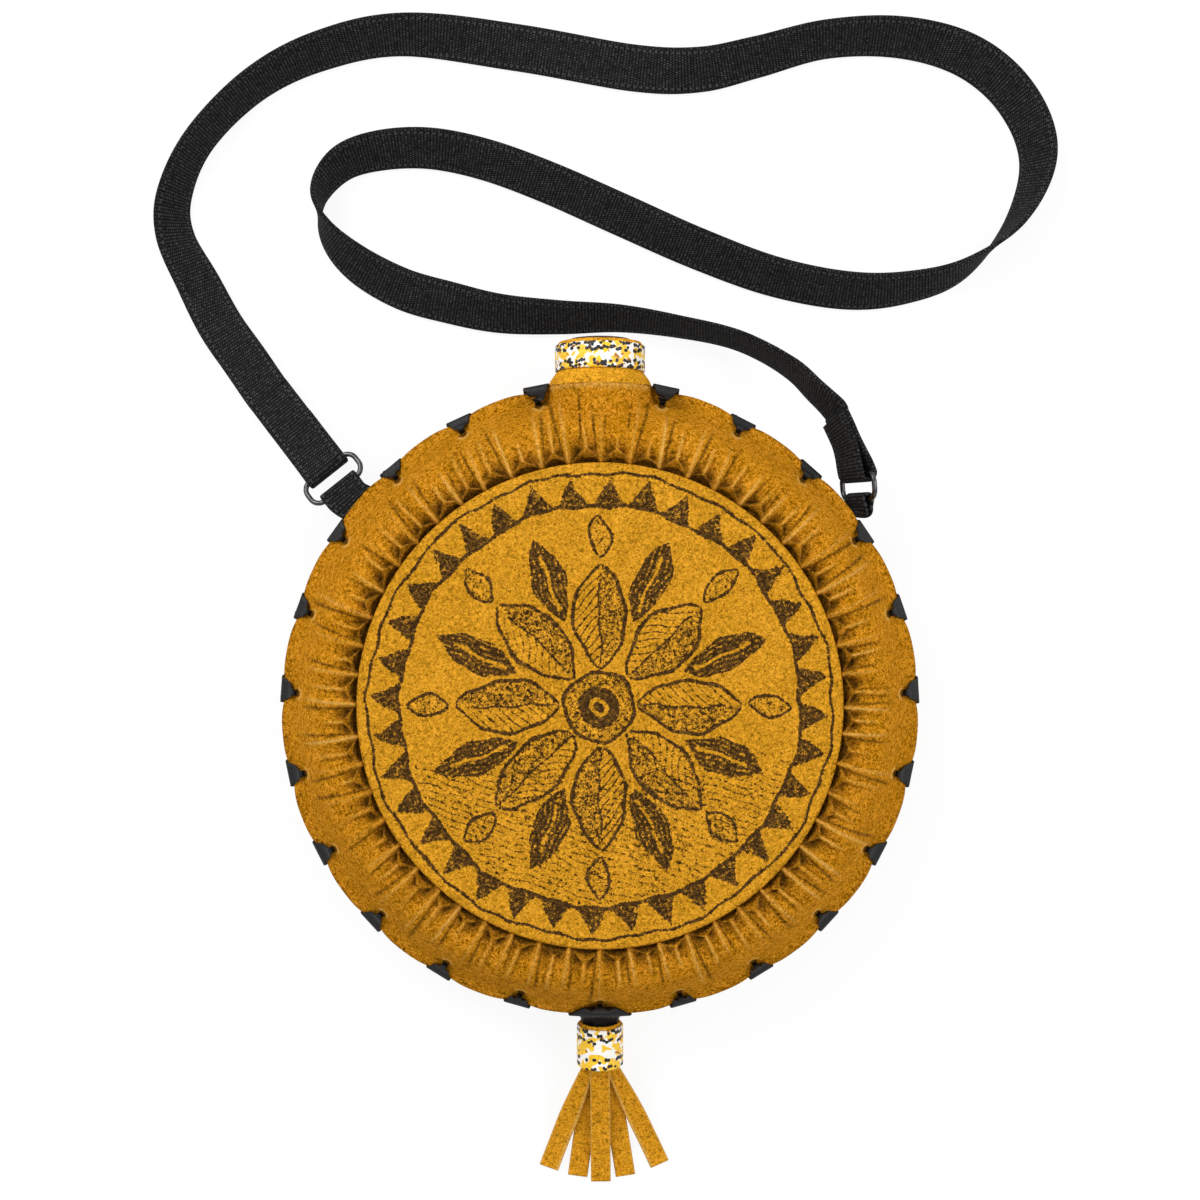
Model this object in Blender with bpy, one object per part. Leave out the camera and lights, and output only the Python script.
"""A round leather-covered canteen, lying on its back.

The hard flask sits between two suede covers. Each cover is a flat round panel and a
gathered ring, and a flat lace whips the two rings together round the rim. A suede sleeve
and a printed band wrap the neck, a cork with a domed head closes it, and a webbing strap
hangs on two wire rings. A tassel of suede strips hangs from the rim.

Metres, +Z up, +Y towards the neck. The origin is the middle of the rear panel's flat face.
"""

import math

import bmesh
import bpy
import numpy as np
from mathutils import Matrix, Vector

# Clearances and sheet thicknesses
FIT = 0.0003
LEATHER = 0.0020
CUT_OVERRUN = 0.0040

# Body
CASE_DEPTH = 0.0550
HALF_DEPTH = CASE_DEPTH / 2
RIM_RADIUS = 0.1073
RUFFLE_WIDTH = 0.0283
PANEL_RADIUS = RIM_RADIUS - RUFFLE_WIDTH
PANEL_ROLL = 0.0016
PANEL_STEPS = 64
NECK_ANGLE = math.pi / 2

# Flask, which ends a rim's lap short of the covers' edge
RIM_LAP = 0.0118
FLASK_RADIUS = RIM_RADIUS - RIM_LAP
FLASK_SHOULDER = 0.0355
FLASK_FLAT_RADIUS = FLASK_RADIUS - FLASK_SHOULDER
FLASK_HALF = HALF_DEPTH - LEATHER - FIT
FLASK_WALL = 0.0020
FLASK_STEPS = 40
SHOULDER_STEPS = 5
NECK_RADIUS = 0.0125
NECK_WALL = 0.0032
NECK_BORE_RADIUS = NECK_RADIUS - NECK_WALL
NECK_PROUD = 0.0122
NECK_END = RIM_RADIUS + NECK_PROUD
NECK_ROOT_DEPTH = 0.0175
NECK_ROOT = FLASK_RADIUS - NECK_ROOT_DEPTH
NECK_STEPS = 24

# Gathered rings
RING_START = PANEL_RADIUS + FIT
RING_WIDTH = RIM_RADIUS - RING_START
PLEATS = 52
FRONT_CREST = 0.0013
REAR_CREST = -0.0004
FRONT_PLEAT_DEPTH = 0.0044
REAR_PLEAT_DEPTH = 0.0030
# Across the ring, height, then how far ridge, valley and fold drop, and the valley's place in a pleat
OUTER_ROW_SHARES = (
    (0.000, 0.979, 0.20, 1.00, 1.02, 0.13),
    (0.054, 0.996, 0.02, 0.98, 0.72, 0.27),
    (0.114, 1.000, 0.00, 0.55, 0.28, 0.40),
    (0.311, 0.958, 0.00, 0.36, 0.12, 0.28),
)
# Across the ring and height, where the folds have faded out
SMOOTH_ROW_SHARES = (
    (0.525, 0.813), (0.704, 0.500), (0.811, 0.271), (0.900, 0.146), (1.000, 0.083),
)
# Rows of the underside, from the rim inwards; the last ones have a height share
FLANGE_ROW_SHARES = (1.000, 0.918)
UNDER_ROW_SHARES = ((0.857, 0.090), (0.750, 0.240), (0.479, 0.722), (0.000, 0.757))
SKIN_STEP_SHARE = 0.04

# Lacing
STITCHES = 23
NECK_SPAN = math.radians(23.5)
STITCH_PITCH = (2 * math.pi - NECK_SPAN) / (STITCHES - 1)
FIRST_STITCH = NECK_ANGLE + NECK_SPAN / 2
TASSEL_STITCH = 11
HOLE_INSET = 0.0055
HOLE_PLACE = RIM_RADIUS - HOLE_INSET
HOLE_RADIUS = 0.0017
HOLE_SIDES = 6
LACE_THICKNESS = 0.0010
LACE_BUNCH = 0.0014
LACE_NARROW = 0.0020
LACE_REAR = 0.0040
LACE_WIDE = 0.0086
LACE_LIFT = 0.0004
LACE_SKEW = math.radians(0.5)
LACE_LEAST_GAP = 0.0004
# Over the rim: turn along the pitch, lean, place across the ring, side, lift, width
FAN_ROW_SHARES = (
    (0.0, 0.6, 0.905, 1, 1.15, 0.68), (0.0, 0.9, 1.0, 1, 1.45, 0.94),
    (0.0, 1.0, None, 1, 1.0, 1.0), (0.0, 1.0, None, -1, 1.0, 1.0),
    (0.010, 0.9, 1.0, -1, 1.45, 0.66), (0.050, 0.5, 0.955, -1, 1.45, 0.44),
)
# Along the back to the next hole: turn along the pitch, place across the ring, lift, width
REAR_RUN_SHARES = (
    (0.15, 0.925, 1.45, 0.85), (0.45, 0.925, 1.45, 1.0), (0.75, 0.905, 1.55, 0.95),
    (0.92, 0.86, 1.90, 0.65),
)
# Where the lace passes the tassel's hole, along two pitches
PASSING_SHARES = (0.45, 0.75, 1.05, 1.35)

# Neck sleeve, band and stopper
SLEEVE_BORE = NECK_RADIUS + FIT
SLEEVE_WALL = 0.0015
SLEEVE_LIP = 0.0013
SLEEVE_END = NECK_END + SLEEVE_LIP
FLARE_ABOVE_RIM = 0.0022
FLARE_BELOW_RIM = 0.0031
SLEEVE_FLARE_TOP = RIM_RADIUS + FLARE_ABOVE_RIM
SLEEVE_FLARE_BASE = RIM_RADIUS - FLARE_BELOW_RIM
SLEEVE_GRIP = 0.0062
SLEEVE_FOOT = SLEEVE_FLARE_BASE - SLEEVE_GRIP
FLARE_RISE = 0.0033
FLARE_RADIUS = SLEEVE_BORE + SLEEVE_WALL + FLARE_RISE
ARCH_CLEARANCE = 0.0014
COVER_ARCH_RADIUS = FLARE_RADIUS + ARCH_CLEARANCE
COVER_ARCH_RUN = 0.0045
BAND_WALL = 0.0007
BAND_LENGTH = 0.0098
BAND_ROUND = 0.0003
CORK_LENGTH = 0.0155
CORK_TAPER = 0.0006
HEAD_INSET = 0.0019
HEAD_RADIUS = NECK_RADIUS - HEAD_INSET
HEAD_EDGE = 0.0016
HEAD_DOME = 0.0014
HEAD_DOME_TURNS = (72, 54, 34, 14)
TURNED_STEPS = 24

# Wire rings and webbing
RING_LENGTH = 0.0225
RING_HEIGHT = 0.0108
RING_CORNER = 0.0045
WIRE_RADIUS = 0.0009
WIRE_SIDES = 8
CORNER_STEPS = 5
WEB_WIDTH = 0.0160
WEB_THICKNESS = 0.0015
LEFT_TAB_WIDTH = 0.0148
RIGHT_TAB_WIDTH = 0.0120
TAB_THICKNESS = 0.0012
TAB_BUNCH = 0.0070
TAB_GRIP = 0.0083
TAB_ROOT = RIM_RADIUS - TAB_GRIP
TAB_STEP_SHARES = (0.0, 0.35, 0.55, 0.7, 0.85, 1.0)
LAYER_GAP = 0.0003
TAB_EYE_CLEARANCE = 0.00035
TAB_EYE_RUN = 0.0085
TAB_PARTING = 0.2
FOLD_BACK_LENGTH = 0.0210
LEFT_END_LENGTH = 0.0340
LEFT_EYE_RUN = 0.0085
LEFT_EYE_CLEARANCE = 0.00035
RIGHT_END_LENGTH = 0.0215
RIGHT_EYE_RUN = 0.0112
RIGHT_EYE_CLEARANCE = 0.00085
RIGHT_END_SKEW = math.radians(10.0)
# How far each ring's middle stands off the rim and lies under the middle plane, and its bearing
LEFT_RING_STAND = 0.0111
LEFT_RING_SAG = 0.0027
LEFT_RING_BEARING = math.radians(140.2)
RIGHT_RING_STAND = 0.0076
RIGHT_RING_SAG = 0.0007
RIGHT_RING_BEARING = math.radians(39.56)
# Each ring's heading, dip and roll
LEFT_RING_TURN = (math.radians(128.5), math.radians(14.0), 0.0)
RIGHT_RING_TURN = (math.radians(104.2), math.radians(4.1), math.radians(58.6))
STATION = 2.0 * math.pi / (2 * PLEATS)
TAB_OFFSET = 14.5 * STATION
LEFT_TAB_TURN = math.radians(0.3)
RIGHT_TAB_TURN = math.radians(-0.64)
LEFT_TAB_LEAD = math.radians(-4.0)
RIGHT_TAB_LEAD = math.radians(11.0)
TAB_WINDOW = 2.0 * STATION

# Strap route from the left end to the right one: x, y, rise off the ground, lean in degrees
STRAP_ROUTE = (
    (-0.1234, 0.1175, 0.0105, 5), (-0.1328, 0.1305, 0.0056, 14), (-0.141, 0.1455, 0.0014, 26),
    (-0.149, 0.162, 0, 45), (-0.149, 0.177, 0, 58), (-0.14, 0.196, 0, 66),
    (-0.121, 0.215, 0, 62), (-0.098, 0.227, 0, 51), (-0.069, 0.233, 0, 40),
    (-0.028, 0.229, 0, 17), (0.012, 0.222, 0, 17), (0.035, 0.221, 0, 30),
    (0.055, 0.225, 0, 43), (0.079, 0.231, 0, 51), (0.104, 0.232, 0, 46),
    (0.126, 0.227, 0, 39), (0.142, 0.216, 0, 37), (0.152, 0.2, 0, 41),
    (0.153, 0.184, 0, 55), (0.144, 0.165, 0, 76), (0.127, 0.15, 0, 108),
    (0.108, 0.144, 0, 124), (0.087, 0.143, 0, 135), (0.061, 0.148, 0, 139),
    (0.034, 0.158, 0, 143), (0.007, 0.17, 0, 145), (-0.018, 0.181, 0, 143),
    (-0.04, 0.189, 0, 141), (-0.06, 0.193, 0, 139), (-0.078, 0.192, 0, 134),
    (-0.091, 0.187, 0, 122), (-0.0985, 0.176, 0, 100), (-0.096, 0.164, 0, 68),
    (-0.086, 0.153, 0, 44), (-0.07, 0.144, 0, 32), (-0.053, 0.139, 0, 32),
    (-0.035, 0.135, 0, 41), (-0.014, 0.1335, 0, 53), (0.007, 0.133, 0, 64),
    (0.028, 0.13, 0, 71), (0.0445, 0.1261, 0.0009, 70), (0.056, 0.1209, 0.0029, 67),
    (0.0658, 0.114, 0.0061, 65), (0.0732, 0.1068, 0.01, 64),
)
STRAP_LEAD = 0.0030
STRAP_STATIONS = 76

# Tassel: its sleeve's mouth stands off the rim and lies under the middle plane
TASSEL_TILT = math.radians(32.0)
TASSEL_STAND = 0.0062
TASSEL_SAG = 0.0085
TASSEL_MOUTH = (0.0, -(RIM_RADIUS + TASSEL_STAND), HALF_DEPTH - TASSEL_SAG)
TASSEL_SLEEVE_BORE = 0.0062
TASSEL_SLEEVE_WALL = 0.0009
TASSEL_SLEEVE_LENGTH = 0.0160
TASSEL_BAND_START = 0.0010
TASSEL_BAND_LENGTH = 0.0142
TASSEL_BAND_WALL = 0.0006
TASSEL_STEPS = 18
LOOP_THICKNESS = 0.0010
LOOP_WIDE = 0.0140
LOOP_MOUTH = 0.0070
LOOP_NARROW = 0.0021
STRIP_THICKNESS = 0.0013
STRIP_WIDTH = 0.0070
STRIP_HOLD = 0.0102
STRIP_RISE = 0.0060
STRIP_MID_REACH = 0.0245
STRIP_LAND_REACH = 0.0365
STRIP_LAY_REACH = 0.0465
STRIP_END_REACH = 0.0571
FAN_MIDWAY = 0.0118
FAN_END = 0.0205
GROUND_GAP = 0.0003
# For each strip: across and off the sleeve's bore, width there and start; across and height midway;
# across and reach at its end
TASSEL_STRIP_SHARES = (
    ((-0.444, -0.161, 0.714, 1.000), (-1.000, 0.467), (-0.878, 0.919)),
    ((-0.452, 0.129, 0.743, 1.000), (-0.508, 0.733), (-0.400, 0.972)),
    ((0.000, 0.419, 0.886, 0.588), (0.000, 1.000), (0.020, 1.000)),
    ((0.452, 0.129, 0.743, 1.000), (0.508, 0.733), (0.429, 0.972)),
    ((0.444, -0.161, 0.714, 1.000), (1.000, 0.467), (1.000, 0.902)),
)
# Along each strip from its middle height: width
STRIP_WIDTH_SHARES = (0.80, 0.90, 0.95, 1.00)


def clear_scene():
    """Remove whatever the file opened with."""
    for old in list(bpy.data.objects):
        bpy.data.objects.remove(old, do_unlink=True)


def make_material(name, colour, roughness, metallic=0.0):
    """A plain Principled material."""
    material = bpy.data.materials.new(name)
    material.use_nodes = True
    shader = material.node_tree.nodes["Principled BSDF"]
    shader.inputs["Base Color"].default_value = (*colour, 1.0)
    shader.inputs["Roughness"].default_value = roughness
    shader.inputs["Metallic"].default_value = metallic
    material.diffuse_color = (*colour, 1.0)
    return material


def add_solid(name, points, faces, material, parent=None, smooth=True):
    """One closed mesh object with its faces pointing out."""
    mesh = bpy.data.meshes.new(name)
    shape = bmesh.new()
    corners = [shape.verts.new(Vector(p)) for p in points]
    for face in faces:
        shape.faces.new([corners[i] for i in face])
    bmesh.ops.recalc_face_normals(shape, faces=shape.faces)
    shape.to_mesh(mesh)
    shape.free()
    if smooth:
        mesh.shade_smooth()
        mesh.set_sharp_from_angle(angle=math.radians(40.0))
    mesh.materials.append(material)
    piece = bpy.data.objects.new(name, mesh)
    bpy.context.scene.collection.objects.link(piece)
    piece.parent = parent
    return piece


def add_empty(name, matrix):
    """An empty on a joint's axis, for moving pieces to hang on."""
    pivot = bpy.data.objects.new(name, None)
    bpy.context.scene.collection.objects.link(pivot)
    pivot.matrix_world = matrix
    return pivot


def as_guide(piece):
    """Keep a cutting body out of the model."""
    piece.hide_render = True
    piece.display_type = "WIRE"
    return piece


def combine(piece, tool, operation):
    """Join or cut a piece with a guide body."""
    step = piece.modifiers.new(operation.title(), "BOOLEAN")
    step.object = as_guide(tool)
    step.operation = operation
    step.solver = "EXACT"


def polar(radius, angle, height):
    return (radius * math.cos(angle), radius * math.sin(angle), height)


def strip_faces(first, second):
    """Triangles or quads between two rings of point numbers, where one ring may be finer."""
    n, m = len(first), len(second)
    if n == m:
        return [(first[i], first[(i + 1) % n], second[(i + 1) % n], second[i]) for i in range(n)]
    if n < m:
        return [tuple(reversed(face)) for face in strip_faces(second, first)]
    ratio = n // m
    faces = []
    for j in range(m):
        centre = ratio * j
        near, following = second[j], second[(j + 1) % m]
        for i in range(ratio):
            owner = near if i < (ratio + 1) // 2 else following
            faces.append((first[(centre + i) % n], first[(centre + i + 1) % n], owner))
            if i + 1 == (ratio + 1) // 2:
                faces.append((first[(centre + i + 1) % n], following, near))
    return faces


def turned_mesh(profile, steps, closed):
    """Points and faces of a profile of (radius, height) turned round the local Z axis."""
    points, faces, rings = [], [], []
    for radius, height in profile:
        ring = list(range(len(points), len(points) + steps))
        points += [polar(radius, 2 * math.pi * i / steps, height) for i in range(steps)]
        rings.append(ring)
    for upper, lower in zip(rings, rings[1:]):
        faces += strip_faces(upper, lower)
    if closed:
        faces += strip_faces(rings[-1], rings[0])
    else:
        faces += [tuple(rings[0]), tuple(rings[-1])]
    return points, faces


def add_turned(name, profile, steps, material, closed=False, parent=None):
    points, faces = turned_mesh(profile, steps, closed)
    return add_solid(name, points, faces, material, parent)


def along_y(piece, place=0.0):
    """Stand a turned piece along +Y on the canteen's middle plane."""
    piece.rotation_euler = (-math.pi / 2, 0.0, 0.0)
    piece.location = (0.0, place, HALF_DEPTH)
    return piece


def halves(points, a, b, c, d):
    """A twisted quad as two triangles, cut along its shorter diagonal."""
    if (Vector(points[a]) - Vector(points[c])).length < (Vector(points[b]) - Vector(points[d])).length:
        return [(a, b, c), (a, c, d)]
    return [(a, b, d), (b, c, d)]


def ribbon(name, stations, material, parent=None):
    """A flat band through stations of (centre, across, up, width, thickness)."""
    points, faces = [], []
    for centre, across, up, width, thick in stations:
        for a, b in ((-1, -1), (1, -1), (1, 1), (-1, 1)):
            points.append(centre + across * (a * width / 2) + up * (b * thick / 2))
    for i in range(len(stations) - 1):
        base = 4 * i
        for k in range(4):
            nxt = (k + 1) % 4
            faces += halves(points, base + k, base + nxt, base + 4 + nxt, base + 4 + k)
    last = 4 * (len(stations) - 1)
    faces += [(0, 1, 2, 3), (last, last + 1, last + 2, last + 3)]
    return add_solid(name, points, faces, material, parent)


def framed(centres, ups):
    """The across and up directions at each centre, square to the path."""
    made = []
    for i, centre in enumerate(centres):
        before, after = centres[max(i - 1, 0)], centres[min(i + 1, len(centres) - 1)]
        tangent = (after - before).normalized()
        up = ups[i] - tangent * ups[i].dot(tangent)
        up.normalize()
        made.append((tangent.cross(up), up))
    return made


def add_panel(name, side, material):
    """A flat round panel whose edge rolls down to its seam."""
    face, back = HALF_DEPTH, HALF_DEPTH - LEATHER
    roll = PANEL_ROLL
    profile = [
        (PANEL_RADIUS - 2 * roll, face),
        (PANEL_RADIUS - roll / 2, face - roll / 4),
        (PANEL_RADIUS, face - roll),
        (PANEL_RADIUS, back),
    ]
    points, faces = turned_mesh([(r, HALF_DEPTH + side * h) for r, h in profile], PANEL_STEPS, False)
    return add_solid(name, points, faces, material)


def flask_height(radius, reach, half):
    """The flask's half thickness at a radius: flat, then a quarter of an ellipse."""
    if radius <= FLASK_FLAT_RADIUS:
        return half
    across = (radius - FLASK_FLAT_RADIUS) / (reach - FLASK_FLAT_RADIUS)
    return half * math.sqrt(max(0.0, 1.0 - across * across))


def flask_profile(reach, half):
    """From the top face round the shoulder to the bottom face."""
    upper = [(FLASK_FLAT_RADIUS, half)]
    for i in range(1, SHOULDER_STEPS):
        turn = math.pi / 2 * i / SHOULDER_STEPS
        radius = FLASK_FLAT_RADIUS + (reach - FLASK_FLAT_RADIUS) * math.sin(turn)
        upper.append((radius, flask_height(radius, reach, half)))
    lower = [(r, -h) for r, h in reversed(upper)]
    rows = upper + [(reach, 0.0)] + lower
    return [(r, HALF_DEPTH + h) for r, h in rows]


def add_flask(material):
    """The hollow flask with its neck, cut open at the mouth."""
    flask = add_turned("flask", flask_profile(FLASK_RADIUS, FLASK_HALF), FLASK_STEPS, material)
    neck = along_y(add_turned("neck_body", [(NECK_RADIUS, NECK_END), (NECK_RADIUS, NECK_ROOT)],
                              NECK_STEPS, material))
    hollow = add_turned("cavity", flask_profile(FLASK_RADIUS - FLASK_WALL, FLASK_HALF - FLASK_WALL),
                        FLASK_STEPS, material)
    bore = along_y(add_turned("bore", [(NECK_BORE_RADIUS, NECK_END + CUT_OVERRUN),
                                       (NECK_BORE_RADIUS, NECK_ROOT)], NECK_STEPS, material))
    combine(flask, neck, "UNION")
    combine(flask, hollow, "DIFFERENCE")
    combine(flask, bore, "DIFFERENCE")
    return flask


def neck_arch(x):
    """How far the covers rise from the middle plane to pass round the neck's sleeve."""
    shoulder = 0.9 * COVER_ARCH_RADIUS
    away = abs(x)
    if away <= shoulder:
        return math.sqrt(COVER_ARCH_RADIUS ** 2 - away * away)
    start = math.sqrt(COVER_ARCH_RADIUS ** 2 - shoulder * shoulder)
    left = max(0.0, 1.0 - (away - shoulder) / COVER_ARCH_RUN)
    return start * left * left


def tab_swell(angle, window=TAB_WINDOW):
    """How far the flanges part round the two webbing tabs."""
    need = TAB_THICKNESS + LAYER_GAP / 2 + FIT
    best = 0.0
    for centre in (NECK_ANGLE + TAB_OFFSET, NECK_ANGLE - TAB_OFFSET):
        away = abs(math.remainder(angle - centre, 2 * math.pi))
        best = max(best, min(1.0, max(0.0, (window - away) / STATION + 0.5)))
    return best * need


def outer_height(share, height, drop, radius, angle, crest):
    base = height * crest - drop
    if share < SMOOTH_ROW_SHARES[0][0] or radius * math.sin(angle) < 0.0:
        over_neck = 0.0
    else:
        over_neck = neck_arch(radius * math.cos(angle))
    if over_neck > 0.0:
        base = max(base, over_neck + LEATHER)
    if share >= SMOOTH_ROW_SHARES[2][0]:
        base = max(base, height * crest + tab_swell(angle, TAB_WINDOW / 2) / 2)
    return base


def under_height(share, height, radius, angle, crest):
    if height is None:
        base = FIT / 2 + tab_swell(angle)
    else:
        base = height * crest
        if radius < FLASK_RADIUS:
            base = max(base, flask_height(radius, FLASK_RADIUS, FLASK_HALF) + FIT / 2)
        if share > UNDER_ROW_SHARES[1][0]:
            base += tab_swell(angle)
    if radius * math.sin(angle) > 0.0 and share > UNDER_ROW_SHARES[2][0]:
        base = max(base, neck_arch(radius * math.cos(angle)))
    return base


def add_ruffle(name, side, rise, depth, material, holes):
    """A gathered suede ring: pleats at the panel, smooth towards the laced rim."""
    crest = HALF_DEPTH + rise
    under_crest = HALF_DEPTH + FRONT_CREST
    pitch = 2 * math.pi / PLEATS
    points, rings = [], []

    def place(radius, angle, height):
        points.append(polar(radius, angle, HALF_DEPTH + side * height))
        return len(points) - 1

    for share, height, ridge, valley, fold, spot in OUTER_ROW_SHARES:
        radius = RING_START + share * RING_WIDTH
        ring = []
        for pleat in range(PLEATS):
            for where, drop in ((0.0, ridge), (spot, valley), (0.5, fold), (1.0 - spot, valley)):
                angle = NECK_ANGLE + pitch * (pleat + where)
                level = outer_height(share, height, drop * depth, radius, angle, crest)
                ring.append(place(radius, angle, level))
        rings.append(ring)
    for share, height in SMOOTH_ROW_SHARES:
        radius = RING_START + share * RING_WIDTH
        rings.append([
            place(radius, NECK_ANGLE + STATION * i,
                  outer_height(share, height, 0.0, radius, NECK_ANGLE + STATION * i, crest))
            for i in range(2 * PLEATS)
        ])
    flange = [(share, None) for share in FLANGE_ROW_SHARES]
    for share, height in flange + list(UNDER_ROW_SHARES):
        radius = RING_START + share * RING_WIDTH
        rings.append([
            place(radius, NECK_ANGLE + STATION * i,
                  under_height(share, height, radius, NECK_ANGLE + STATION * i, under_crest))
            for i in range(2 * PLEATS)
        ])
    faces = []
    for first, second in zip(rings, rings[1:]):
        faces += strip_faces(first, second)
    faces += strip_faces(rings[-1], rings[0])
    ring_piece = add_solid(name, points, faces, material)
    combine(ring_piece, holes, "DIFFERENCE")
    return ring_piece


def stitch_angle(number):
    return FIRST_STITCH + STITCH_PITCH * number


def add_hole_cutter(material):
    """The row of lace holes, as one cutting body."""
    points, faces = [], []
    for number in range(STITCHES):
        centre = polar(HOLE_PLACE, stitch_angle(number), 0.0)
        base = len(points)
        for height in (CASE_DEPTH - CUT_OVERRUN, CUT_OVERRUN):
            for k in range(HOLE_SIDES):
                x, y, _ = polar(HOLE_RADIUS, 2 * math.pi * k / HOLE_SIDES, 0.0)
                points.append((centre[0] + x, centre[1] + y, height))
        top = list(range(base, base + HOLE_SIDES))
        bottom = list(range(base + HOLE_SIDES, base + 2 * HOLE_SIDES))
        faces += strip_faces(top, bottom) + [tuple(top), tuple(bottom)]
    return as_guide(add_solid("lace_holes", points, faces, material, smooth=False))


def skin_height(share, side, angle, reach):
    """How high a cover's laced edge stands off the middle plane within a reach to either side."""
    rows = SMOOTH_ROW_SHARES
    crest = HALF_DEPTH + (FRONT_CREST if side > 0 else REAR_CREST)
    height = float(np.interp(share, [row[0] for row in rows], [row[1] for row in rows]))
    radius = RING_START + share * RING_WIDTH
    levels = []
    for k in range(-2, 3):
        place = (angle + reach / radius * k / 2 - NECK_ANGLE) / STATION
        before = math.floor(place)
        near, far = (outer_height(share, height, 0.0, radius, NECK_ANGLE + STATION * i, crest)
                     for i in (before, before + 1))
        levels.append(near + (far - near) * (place - before))
    return max(levels)


def off_skin(share, side, lift, angle, reach):
    """Radius and height of a place lifted square off a cover's edge, and the way it is lifted."""
    step = SKIN_STEP_SHARE
    before, after = max(share - step, 0.0), min(share + step, 1.0)
    run = (after - before) * RING_WIDTH
    fall = skin_height(before, side, angle, reach) - skin_height(after, side, angle, reach)
    size = math.hypot(run, fall)
    out, up = fall / size, run / size
    if share >= 1.0:
        out, up = (out + 1.0) / 2, up / 2
        size = math.hypot(out, up)
        out, up = out / size, up / size
    radius = RING_START + share * RING_WIDTH + out * lift
    height = skin_height(share, side, angle, reach) + up * lift
    return radius, side * height, (out, 0.0, side * up)


def lace_rows(angle):
    """One stitch of the lace: turn along the pitch, lean, radius, height, width, thickness, outside."""
    hole, lift = HOLE_PLACE, LACE_LIFT + LACE_THICKNESS / 2
    hole_share = (hole - RING_START) / RING_WIDTH
    climb = skin_height(hole_share, 1, angle, HOLE_RADIUS)
    descent = skin_height(hole_share, -1, angle, HOLE_RADIUS)
    wide, thick = LACE_WIDE, LACE_THICKNESS
    narrow, bunch, rear = LACE_NARROW, LACE_BUNCH, LACE_REAR
    edge = HALF_DEPTH * SMOOTH_ROW_SHARES[-1][1]
    lip_share = hole_share + HOLE_RADIUS / RING_WIDTH
    lip = max(1.02 * climb, skin_height(lip_share, 1, angle, 0.4 * wide) + 1.7 * lift)
    rows = [
        (0.0, 0.0, hole, 0.0, narrow, bunch, (-0.7, 0.7, 0.0)),
        (0.0, 0.0, hole, 0.64 * climb, narrow, bunch, (-1.0, 0.0, 0.1)),
        (0.0, 0.1, hole + 0.25 * HOLE_RADIUS, 0.88 * climb, narrow, bunch, (-0.8, 0.0, 0.6)),
        (0.0, 0.3, hole + HOLE_RADIUS, lip, 0.34 * wide, 1.1 * thick, (0.6, 0.0, 0.8)),
    ]
    for turn, lean, share, side, more, width in FAN_ROW_SHARES:
        if share is None:
            radius, height, out = RIM_RADIUS + lift, side * 0.7 * edge, (1.0, 0.0, side * 0.2)
        else:
            radius, height, out = off_skin(share, side, lift * more, angle, 0.55 * wide)
        rows.append((turn, lean, radius, height, width * wide, thick, out))
    for turn, share, more, width in REAR_RUN_SHARES:
        radius, height, out = off_skin(share, -1, lift * more, angle + turn * STITCH_PITCH, rear)
        rows.append((turn, 0.0, radius, height, width * rear, thick, out))
    rows.append((0.985, 0.0, hole + 0.2 * HOLE_RADIUS, -1.25 * descent, narrow, bunch, (0.2, 0.6, -0.8)))
    rows.append((1.0, 0.0, hole, -0.80 * descent, narrow, bunch, (0.0, 1.0, -0.2)))
    return rows


def skew(number):
    """How far a stitch leans along the rim, which follows the direction of pull."""
    return LACE_SKEW * (math.cos(stitch_angle(number) + STITCH_PITCH) - 0.2)


def add_rim_lace(material):
    """One flat lace through every hole but the tassel's, over the rim and on along the back."""
    centres, ups, sizes, stitch_of = [], [], [], []
    for number in range(STITCHES):
        if number == TASSEL_STITCH:
            continue
        rows = lace_rows(stitch_angle(number))
        span = 2.0 if number + 1 == TASSEL_STITCH else 1.0
        turns = []
        for row in rows:
            turns.append((row[0] if row[0] < 0.5 else span - 1.0 + row[0], row))
        if span > 1.0:
            along = [row for row in rows if 0.3 < row[0] < 0.5][0]
            turns = [t for t in turns if t[0] < 1.0 / 3] + [
                (place, along) for place in PASSING_SHARES
            ] + [t for t in turns if t[0] > 1.5]
        if number == STITCHES - 1:
            turns = turns[:9]
        for turn, (_, lean, radius, height, width, thick, side) in turns:
            angle = stitch_angle(number) + STITCH_PITCH * turn + lean * skew(number)
            out, on = Vector(polar(1.0, angle, 0.0)), Vector(polar(1.0, angle + math.pi / 2, 0.0))
            centres.append(Vector(polar(radius, angle, HALF_DEPTH + height)))
            ups.append(out * side[0] + on * side[1] + Vector((0.0, 0.0, side[2])))
            sizes.append((width, thick))
            stitch_of.append(number)
    frames = framed(centres, ups)
    stations = [(c, a, u, w, t) for c, (a, u), (w, t) in zip(centres, frames, sizes)]
    report_least_gap(stations, stitch_of)
    return ribbon("rim_lace", stations, material)


def report_least_gap(stations, stitch_of):
    """Print the least distance between parts of the lace that are a stitch or more apart."""
    place, turn = [], []
    for (centre, across, _, width, _), number in zip(stations, stitch_of):
        for k in (-1, 0, 1):
            place.append(tuple(centre + across * (k * width / 2)))
            turn.append(number)
    place, turn = np.array(place), np.array(turn)
    apart = np.linalg.norm(place[:, None] - place[None], axis=2)
    other = np.abs(turn[:, None] - turn[None]) > 1
    least = float(apart[other].min()) - LACE_THICKNESS
    print(f"least gap between stitches {least * 1000:.2f} mm, wanted {LACE_LEAST_GAP * 1000:.2f} mm")


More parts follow.
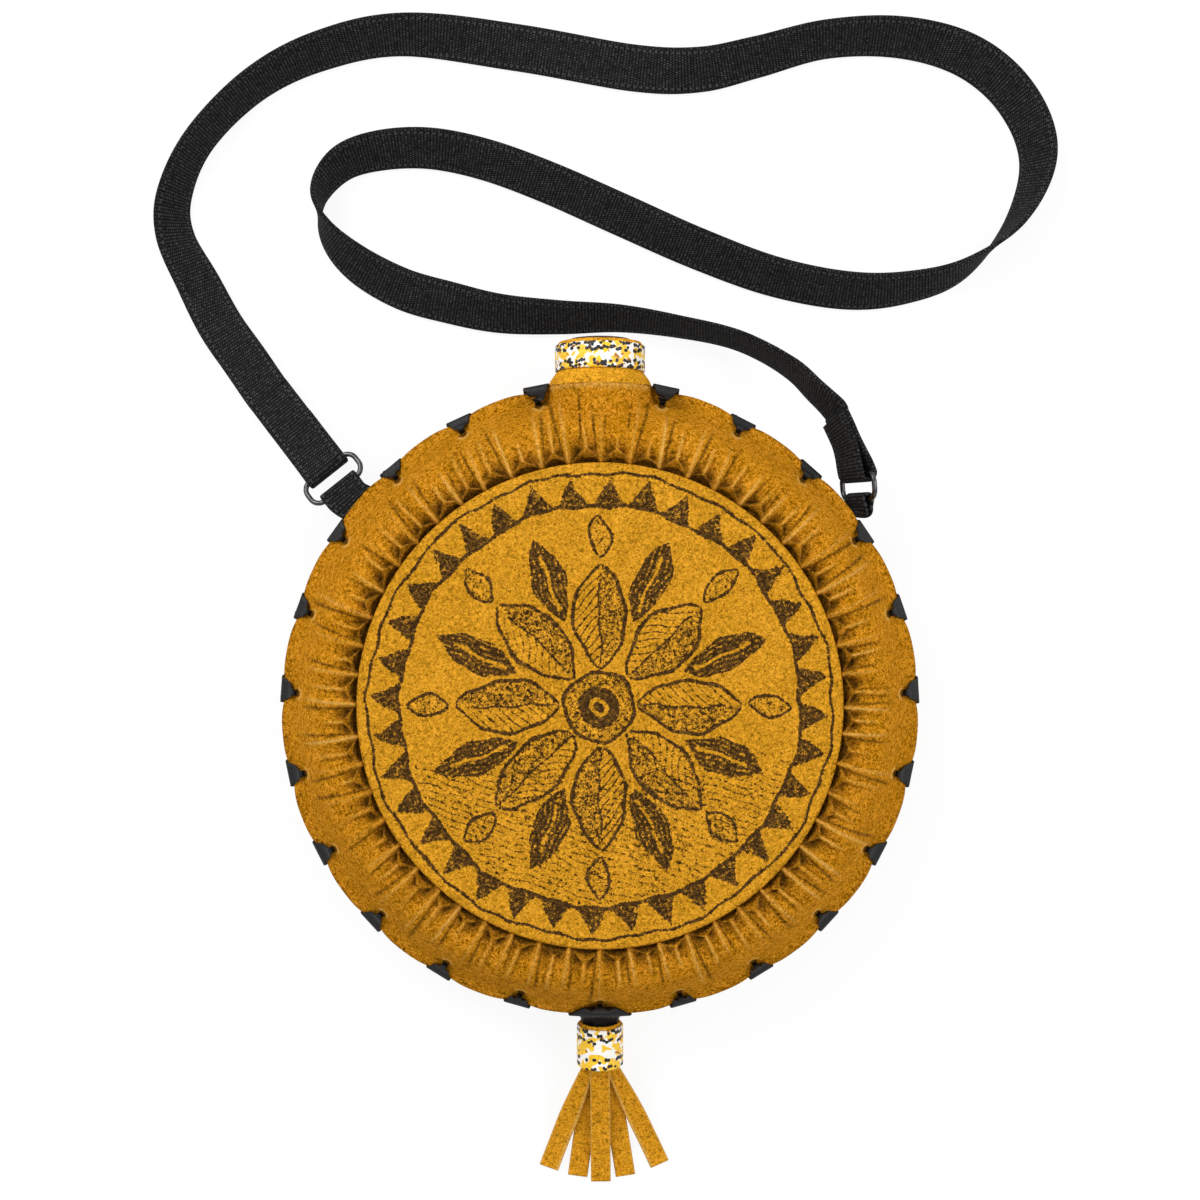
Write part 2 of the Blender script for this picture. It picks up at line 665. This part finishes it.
def add_neck_sleeve(material):
    """The suede tube on the neck, flared where it goes in between the covers."""
    wall, bore = SLEEVE_WALL, SLEEVE_BORE
    flare = FLARE_RADIUS
    waist = (SLEEVE_FLARE_TOP + SLEEVE_FLARE_BASE) / 2
    profile = [
        (bore, SLEEVE_END), (bore + wall / 2, SLEEVE_END + wall / 4), (bore + wall, SLEEVE_END - wall / 4),
        (bore + wall, SLEEVE_FLARE_TOP), ((bore + wall + flare) / 2, waist), (flare, SLEEVE_FLARE_BASE),
        (flare, SLEEVE_FOOT), (flare - wall, SLEEVE_FOOT), (flare - wall, SLEEVE_FLARE_BASE - wall / 2),
        ((bore + flare - wall) / 2, waist - wall / 2), (bore, SLEEVE_FLARE_TOP - wall / 2),
    ]
    return along_y(add_turned("neck_sleeve", profile, TURNED_STEPS + 4, material, closed=True))


def band_profile(bore, wall, start, length):
    edge = BAND_ROUND
    return [
        (bore, start + length), (bore + wall - edge, start + length), (bore + wall, start + length - edge),
        (bore + wall, start + edge), (bore + wall - edge, start), (bore, start),
    ]


def add_neck_band(material):
    bore = SLEEVE_BORE + SLEEVE_WALL + FIT
    start = SLEEVE_FLARE_TOP + FIT
    profile = band_profile(bore, BAND_WALL, start, BAND_LENGTH)
    return along_y(add_turned("neck_band", profile, TURNED_STEPS + 4, material, closed=True))


def add_stopper(cork, wood):
    """The tapered cork and its domed head, which lift out along the neck."""
    pivot = add_empty("stopper_axis", Matrix.Translation((0.0, NECK_END, HALF_DEPTH)))
    pivot.matrix_world = pivot.matrix_world @ Matrix.Rotation(-math.pi / 2, 4, "X")
    radius = NECK_BORE_RADIUS - FIT
    corner = CORK_TAPER
    add_turned("stopper_cork", [
        (radius, 0.0), (radius - CORK_TAPER / 2, corner - CORK_LENGTH),
        (radius - CORK_TAPER - corner, -CORK_LENGTH),
    ], TURNED_STEPS, cork, parent=pivot)
    seat, top = FIT, FIT + HEAD_EDGE
    rows = [(HEAD_RADIUS * math.cos(t), top + HEAD_DOME * math.sin(t))
            for t in (math.radians(turn) for turn in HEAD_DOME_TURNS)]
    add_turned("stopper_head", rows + [(HEAD_RADIUS, top), (HEAD_RADIUS, seat)],
               TURNED_STEPS, wood, parent=pivot)


def ring_frame(stand, bearing, sag, turn):
    """Unit directions along a ring's length, towards the strap and up, and its tab-side bar's place."""
    heading, dip, roll = turn
    place = polar(RIM_RADIUS + stand, bearing, HALF_DEPTH - sag)
    forward = Vector((math.cos(heading) * math.cos(dip), math.sin(heading) * math.cos(dip), -math.sin(dip)))
    flat = Vector((math.cos(heading - math.pi / 2), math.sin(heading - math.pi / 2), 0.0))
    lift = flat.cross(forward)
    across = flat * math.cos(roll) + lift * math.sin(roll)
    up = across.cross(forward)
    bar = Vector(place) - forward * (RING_HEIGHT / 2 - WIRE_RADIUS)
    return across, forward, up, bar


def frame_matrix(across, forward, up, bar):
    matrix = Matrix((across, forward, up)).transposed().to_4x4()
    matrix.translation = bar
    return matrix


def add_ring(name, pivot, material):
    """A closed wire ring, a rounded oblong whose tab-side bar lies on the pivot's X axis."""
    long_half = RING_LENGTH / 2 - WIRE_RADIUS
    short_half = RING_HEIGHT / 2 - WIRE_RADIUS
    corner = min(RING_CORNER - WIRE_RADIUS, short_half)
    path = []
    for cx, cy, start in ((1, 1, 0.0), (-1, 1, 0.5), (-1, -1, 1.0), (1, -1, 1.5)):
        for k in range(CORNER_STEPS + 1):
            turn = math.pi * (start + 0.5 * k / CORNER_STEPS)
            outward = (math.cos(turn), math.sin(turn))
            middle = (cx * (long_half - corner), short_half + cy * (short_half - corner))
            path.append((Vector((middle[0] + corner * outward[0], middle[1] + corner * outward[1], 0.0)),
                         Vector((*outward, 0.0))))
    points, faces, rings = [], [], []
    for centre, outward in path:
        ring = list(range(len(points), len(points) + WIRE_SIDES))
        for k in range(WIRE_SIDES):
            turn = 2 * math.pi * (k + 0.5) / WIRE_SIDES
            points.append(centre + outward * (WIRE_RADIUS * math.cos(turn))
                          + Vector((0.0, 0.0, WIRE_RADIUS * math.sin(turn))))
        rings.append(ring)
    for i, ring in enumerate(rings):
        faces += strip_faces(ring, rings[(i + 1) % len(rings)])
    return add_solid(name, points, faces, material, parent=pivot)


def eye_path(thick, clearance, long_leg, short_leg, run):
    """A band folded round a bar at the origin, as (along, off) places with the legs towards +along."""
    apart = (thick + LAYER_GAP) / 2
    turn_radius = WIRE_RADIUS + clearance + thick / 2
    path = [(long_leg, apart), ((long_leg + run) / 2, apart), (run, apart)]
    path += [(0.62 * run, (apart * 2 + turn_radius) / 3), (0.30 * run, 0.84 * turn_radius)]
    for degrees in (90, 126, 162, 198, 234, 270):
        turn = math.radians(degrees)
        path.append((turn_radius * math.cos(turn), turn_radius * math.sin(turn)))
    path += [(0.30 * run, -0.84 * turn_radius), (0.62 * run, -(apart * 2 + turn_radius) / 3)]
    path += [(run, -apart), ((short_leg + run) / 2, -apart), (short_leg, -apart)]
    return path


def eye_frame(frame, skew):
    """A strap end's across, leg and up directions and its eye's middle, skewed in its own plane."""
    across, forward, up, bar = frame
    leg = forward * math.cos(skew) - across * math.sin(skew)
    wide = across * math.cos(skew) + forward * math.sin(skew)
    middle = bar + forward * (RING_HEIGHT - 2 * WIRE_RADIUS) - leg * (WEB_WIDTH / 2 * math.tan(abs(skew)))
    return wide, leg, up, middle


def folded_ups(centres, sideways):
    """Up directions of a fold that turns in the plane square to its sideways directions."""
    ups = []
    for i, across in enumerate(sideways):
        before, after = centres[max(i - 1, 0)], centres[min(i + 1, len(centres) - 1)]
        ups.append(across.cross(after - before).normalized())
    return ups


def add_strap_end(name, pivot, side, skew, path, material):
    """The strap's folded and sewn end, in its ring's own frame, on the strap-side bar."""
    axes = (Vector((1.0, 0.0, 0.0)), Vector((0.0, 1.0, 0.0)), Vector((0.0, 0.0, 1.0)), Vector())
    wide, leg, up, middle = eye_frame(axes, skew)
    centres = [middle + leg * along + up * (side * off) for along, off in path]
    frames = framed(centres, folded_ups(centres, [wide] * len(centres)))
    stations = [(c, wide, u, WEB_WIDTH, WEB_THICKNESS) for c, (_, u) in zip(centres, frames)]
    return ribbon(name, stations, material, parent=pivot)


def bezier(p0, p1, p2, p3, t):
    s = 1.0 - t
    return p0 * (s ** 3) + p1 * (3 * s * s * t) + p2 * (3 * s * t * t) + p3 * (t ** 3)


def ease(share):
    """A smooth rise from zero to one."""
    held = min(1.0, max(0.0, share))
    return held * held * (3.0 - 2.0 * held)


def add_tab(name, frame, angle, lead, root_width, full_width, material):
    """A webbing tab folded round the ring, both layers going in between the covers."""
    across, forward, _, bar = frame
    lift = across.cross(forward)
    outward = Vector(polar(1.0, angle + lead, 0.0))
    sideways = Vector(polar(1.0, angle + lead - math.pi / 2, 0.0))
    root = Vector(polar(TAB_ROOT, angle, HALF_DEPTH))
    mouth = bar - forward * TAB_EYE_RUN * 0.3
    reach = (mouth - root).length
    turn_radius = WIRE_RADIUS + TAB_EYE_CLEARANCE + TAB_THICKNESS / 2
    apart = (TAB_THICKNESS + LAYER_GAP) / 2
    legs = []
    for t in TAB_STEP_SHARES:
        centre = bezier(root, root + outward * reach * 0.6, mouth - forward * reach * 0.3, mouth, t)
        late = ease(1.8 * t - 0.8)
        direction = sideways.lerp(across, late).normalized()
        normal = Vector((0.0, 0.0, 1.0)).lerp(lift, late)
        normal = (normal - direction * normal.dot(direction)).normalized()
        width = root_width + (full_width - root_width) * late
        legs.append((centre, direction, normal, width, apart + (turn_radius - apart) * TAB_PARTING * late))
    rows = [(c - n * gap, d, -n, w) for c, d, n, w, gap in legs]
    for degrees in (-90, -54, -18, 18, 54, 90):
        turn = math.radians(degrees)
        normal = forward * math.cos(turn) + lift * math.sin(turn)
        rows.append((bar + normal * turn_radius, across, normal, full_width))
    rows += [(c + n * gap, d, n, w) for c, d, n, w, gap in reversed(legs)]
    return ribbon(name, [(*row, TAB_THICKNESS) for row in rows], material)


def smooth_rows(rows, count):
    """Rows of numbers read at even steps from a smooth curve through them."""
    table = np.array(rows, float)
    ends = np.vstack([2 * table[0] - table[1], table, 2 * table[-1] - table[-2]])
    fine = []
    for i in range(1, len(ends) - 2):
        p0, p1, p2, p3 = ends[i - 1:i + 3]
        for t in np.linspace(0.0, 1.0, 12, endpoint=False):
            fine.append(0.5 * (2 * p1 + (p2 - p0) * t + (2 * p0 - 5 * p1 + 4 * p2 - p3) * t * t
                               + (3 * p1 - p0 - 3 * p2 + p3) * t ** 3))
    fine = np.array(fine + [table[-1]])
    along = np.concatenate([[0.0], np.cumsum(np.linalg.norm(np.diff(fine[:, :3], axis=0), axis=1))])
    wanted = np.linspace(0.0, along[-1], count)
    made = np.stack([np.interp(wanted, along, fine[:, k]) for k in range(table.shape[1])], axis=1)
    return made, float(along[-1])


def strap_join(frame, side, skew, length):
    """Where the strap's long run meets a sewn end, the direction it leaves in, and its lean there."""
    wide, leg, up, middle = eye_frame(frame, skew)
    start = middle + leg * (length + FIT) + up * (side * (WEB_THICKNESS + LAYER_GAP) / 2)
    return start, leg, math.degrees(math.asin(wide.z / math.hypot(leg.x, leg.y)))


def add_strap(left, right, material):
    """The strap's long run, lying on the ground and leaning on its edge in the bends."""
    begin, away, first_lean = strap_join(left, 1, 0.0, LEFT_END_LENGTH)
    finish, back, last_lean = strap_join(right, -1, RIGHT_END_SKEW, RIGHT_END_LENGTH)
    rows = [(*begin, first_lean), (*(begin + away * STRAP_LEAD), first_lean)]
    for x, y, rise, lean in STRAP_ROUTE:
        turn = math.radians(lean)
        height = (WEB_WIDTH * abs(math.sin(turn)) + WEB_THICKNESS * abs(math.cos(turn))) / 2
        rows.append((x, y, height + rise, lean))
    rows += [(*(finish + back * STRAP_LEAD), last_lean), (*finish, last_lean)]
    made, length = smooth_rows(rows, STRAP_STATIONS)
    print(f"strap run {length:.4f} m")
    centres = [Vector(row[:3]) for row in made]
    stations = []
    for i, centre in enumerate(centres):
        before, after = centres[max(i - 1, 0)], centres[min(i + 1, len(centres) - 1)]
        if i == 0:
            tangent = away
        elif i == len(centres) - 1:
            tangent = -back
        else:
            tangent = (after - before).normalized()
        level = Vector((-tangent.y, tangent.x, 0.0)).normalized()
        raised = tangent.cross(level)
        lean = math.radians(made[i][3])
        across = level * math.cos(lean) + raised * math.sin(lean)
        up = across.cross(tangent) * -1.0
        low = WEB_WIDTH / 2 * abs(across.z) + WEB_THICKNESS / 2 * abs(up.z) + GROUND_GAP
        lifted = Vector((centre.x, centre.y, max(centre.z, low)))
        stations.append((lifted, across, up, WEB_WIDTH, WEB_THICKNESS))
    return ribbon("strap", stations, material)


def tassel_axis(along, off=0.0, x=0.0):
    """A place by the tassel's sloping axis, from its mouth: down along it, and off it."""
    mouth = Vector(TASSEL_MOUTH)
    down = Vector((0.0, -math.cos(TASSEL_TILT), -math.sin(TASSEL_TILT)))
    up = Vector((0.0, -math.sin(TASSEL_TILT), math.cos(TASSEL_TILT)))
    return mouth + down * along + up * off + Vector((x, 0.0, 0.0))


def add_tassel_loop(material):
    """The wide lace through the bottom hole and over the rim, with both ends in the tassel."""
    hole, wide, narrow = HOLE_PLACE, LOOP_WIDE, LOOP_NARROW
    mouth, lie = LOOP_MOUTH, LOOP_THICKNESS
    hold = STRIP_HOLD - 1.6 * lie
    lift, angle = LACE_LIFT + LOOP_THICKNESS / 2, stitch_angle(TASSEL_STITCH)
    climb = skin_height((hole - RING_START) / RING_WIDTH, 1, angle, HOLE_RADIUS)

    def beside_rim(radius, height):
        return Vector((0.0, -radius, HALF_DEPTH + height))

    def on_skin(share, side, more):
        radius, height, _ = off_skin(share, side, more * lift, angle, wide / 2)
        return beside_rim(radius, height)

    rows = [
        (tassel_axis(hold, lie), mouth),
        (tassel_axis(0.3 * hold, lie), mouth),
        (tassel_axis(-0.3 * hold, 1.5 * lie), 1.25 * mouth),
        (beside_rim(RIM_RADIUS + 2.4 * lift, 0.0), 0.9 * wide),
        (on_skin(1.0, 1, 1.6), wide),
        (on_skin(0.905, 1, 1.2), 0.7 * wide),
        (beside_rim(hole + 0.9 * HOLE_RADIUS, 1.03 * climb), 0.3 * wide),
        (beside_rim(hole + 0.2 * HOLE_RADIUS, 0.9 * climb), narrow),
        (beside_rim(hole, 0.0), narrow),
        (beside_rim(hole + 0.2 * HOLE_RADIUS, -1.0 * climb), narrow),
        (beside_rim(hole + 1.3 * HOLE_RADIUS, -1.15 * climb), 1.4 * narrow),
        (beside_rim(RIM_RADIUS, -1.02 * climb), 2.2 * narrow),
        (tassel_axis(-0.3 * hold, -1.2 * lie), 3.0 * narrow),
        (tassel_axis(0.3 * hold, -lie), mouth),
        (tassel_axis(hold, -lie), mouth),
    ]
    centres = [row[0] for row in rows]
    sides = [Vector((1.0, 0.0, 0.0))] * len(rows)
    frames = framed(centres, folded_ups(centres, sides))
    stations = [(c, a, u, row[1], LOOP_THICKNESS) for c, (a, u), row in zip(centres, frames, rows)]
    return ribbon("tassel_loop", stations, material)


def add_tassel(suede, printed):
    """The tassel's sleeve, band and strips, which swing about the end of its loop."""
    mouth = Vector(TASSEL_MOUTH)
    pivot = add_empty("tassel_pivot", Matrix.Translation(mouth))
    slope = (math.pi / 2 + TASSEL_TILT, 0.0, 0.0)
    bore, wall = TASSEL_SLEEVE_BORE, TASSEL_SLEEVE_WALL
    sleeve = add_turned("tassel_sleeve", [
        (bore, TASSEL_SLEEVE_LENGTH), (bore + wall, TASSEL_SLEEVE_LENGTH), (bore + wall, wall / 4),
        (bore + wall / 2, 0.0), (bore, wall / 4),
    ], TASSEL_STEPS, suede, closed=True, parent=pivot)
    sleeve.rotation_euler = slope
    band = add_turned("tassel_band", band_profile(bore + wall + FIT, TASSEL_BAND_WALL,
                                                  TASSEL_BAND_START, TASSEL_BAND_LENGTH),
                      TASSEL_STEPS, printed, closed=True, parent=pivot)
    band.rotation_euler = slope
    floor = GROUND_GAP + STRIP_THICKNESS / 2
    for number, (held, midway, end) in enumerate(TASSEL_STRIP_SHARES, 1):
        x, off = held[0] * bore, held[1] * bore
        tight, start = held[2] * STRIP_WIDTH, held[3] * STRIP_HOLD
        mid_x, mid_height = midway[0] * FAN_MIDWAY, midway[1] * STRIP_RISE
        end_x, end_reach = end[0] * FAN_END, end[1] * STRIP_END_REACH
        spread = (end_x - mid_x) / 3
        fanned = (
            (mid_x, STRIP_MID_REACH, mid_height),
            (mid_x + spread, STRIP_LAND_REACH, floor),
            (mid_x + 2 * spread, STRIP_LAY_REACH, floor),
            (end_x, end_reach, floor),
        )
        rows = [(tassel_axis(along, off, x), tight) for along in (start, TASSEL_SLEEVE_LENGTH)]
        rows += [(Vector((across, mouth.y - reach, height)), share * STRIP_WIDTH)
                 for (across, reach, height), share in zip(fanned, STRIP_WIDTH_SHARES)]
        centres = [row[0] - mouth for row in rows]
        frames = framed(centres, [Vector((0.0, 0.0, 1.0))] * len(rows))
        stations = [(c, Vector((1.0, 0.0, 0.0)), u, row[1], STRIP_THICKNESS)
                    for c, (a, u), row in zip(centres, frames, rows)]
        ribbon(f"tassel_strip_{number}", stations, suede, parent=pivot)


def build():
    """Make every piece."""
    clear_scene()
    suede = make_material("suede", (0.62, 0.36, 0.08), 0.95)
    printed = make_material("printed_band", (0.90, 0.82, 0.55), 0.60)
    lace = make_material("black_lace", (0.02, 0.02, 0.022), 0.35)
    webbing = make_material("black_webbing", (0.015, 0.015, 0.017), 0.85)
    metal = make_material("dark_wire", (0.12, 0.12, 0.13), 0.30, 1.0)
    plastic = make_material("flask_plastic", (0.70, 0.68, 0.62), 0.45)
    cork = make_material("cork", (0.50, 0.33, 0.18), 0.90)
    wood = make_material("dark_wood", (0.06, 0.03, 0.02), 0.50)

    add_flask(plastic)
    add_panel("panel_front", 1, suede)
    add_panel("panel_rear", -1, suede)
    holes = add_hole_cutter(suede)
    add_ruffle("ruffle_front", 1, FRONT_CREST, FRONT_PLEAT_DEPTH, suede, holes)
    add_ruffle("ruffle_rear", -1, REAR_CREST, REAR_PLEAT_DEPTH, suede, holes)
    add_rim_lace(lace)
    add_neck_sleeve(suede)
    add_neck_band(printed)
    add_stopper(cork, wood)

    left = ring_frame(LEFT_RING_STAND, LEFT_RING_BEARING, LEFT_RING_SAG, LEFT_RING_TURN)
    right = ring_frame(RIGHT_RING_STAND, RIGHT_RING_BEARING, RIGHT_RING_SAG, RIGHT_RING_TURN)
    left_pivot = add_empty("left_ring_pivot", frame_matrix(*left))
    right_pivot = add_empty("right_ring_pivot", frame_matrix(*right))
    add_ring("ring_left", left_pivot, metal)
    add_ring("ring_right", right_pivot, metal)
    add_tab("tab_left", left, NECK_ANGLE + TAB_OFFSET + LEFT_TAB_TURN, LEFT_TAB_LEAD,
            LEFT_TAB_WIDTH, LEFT_TAB_WIDTH, webbing)
    add_tab("tab_right", right, NECK_ANGLE - TAB_OFFSET + RIGHT_TAB_TURN, RIGHT_TAB_LEAD,
            TAB_BUNCH, RIGHT_TAB_WIDTH, webbing)
    left_path = eye_path(WEB_THICKNESS, LEFT_EYE_CLEARANCE, LEFT_END_LENGTH, FOLD_BACK_LENGTH,
                         LEFT_EYE_RUN)
    right_path = eye_path(WEB_THICKNESS, RIGHT_EYE_CLEARANCE, RIGHT_END_LENGTH, FOLD_BACK_LENGTH,
                          RIGHT_EYE_RUN)
    add_strap_end("strap_end_left", left_pivot, 1, 0.0, left_path, webbing)
    add_strap_end("strap_end_right", right_pivot, -1, RIGHT_END_SKEW, right_path, webbing)
    add_strap(left, right, webbing)

    add_tassel_loop(lace)
    add_tassel(suede, printed)


build()
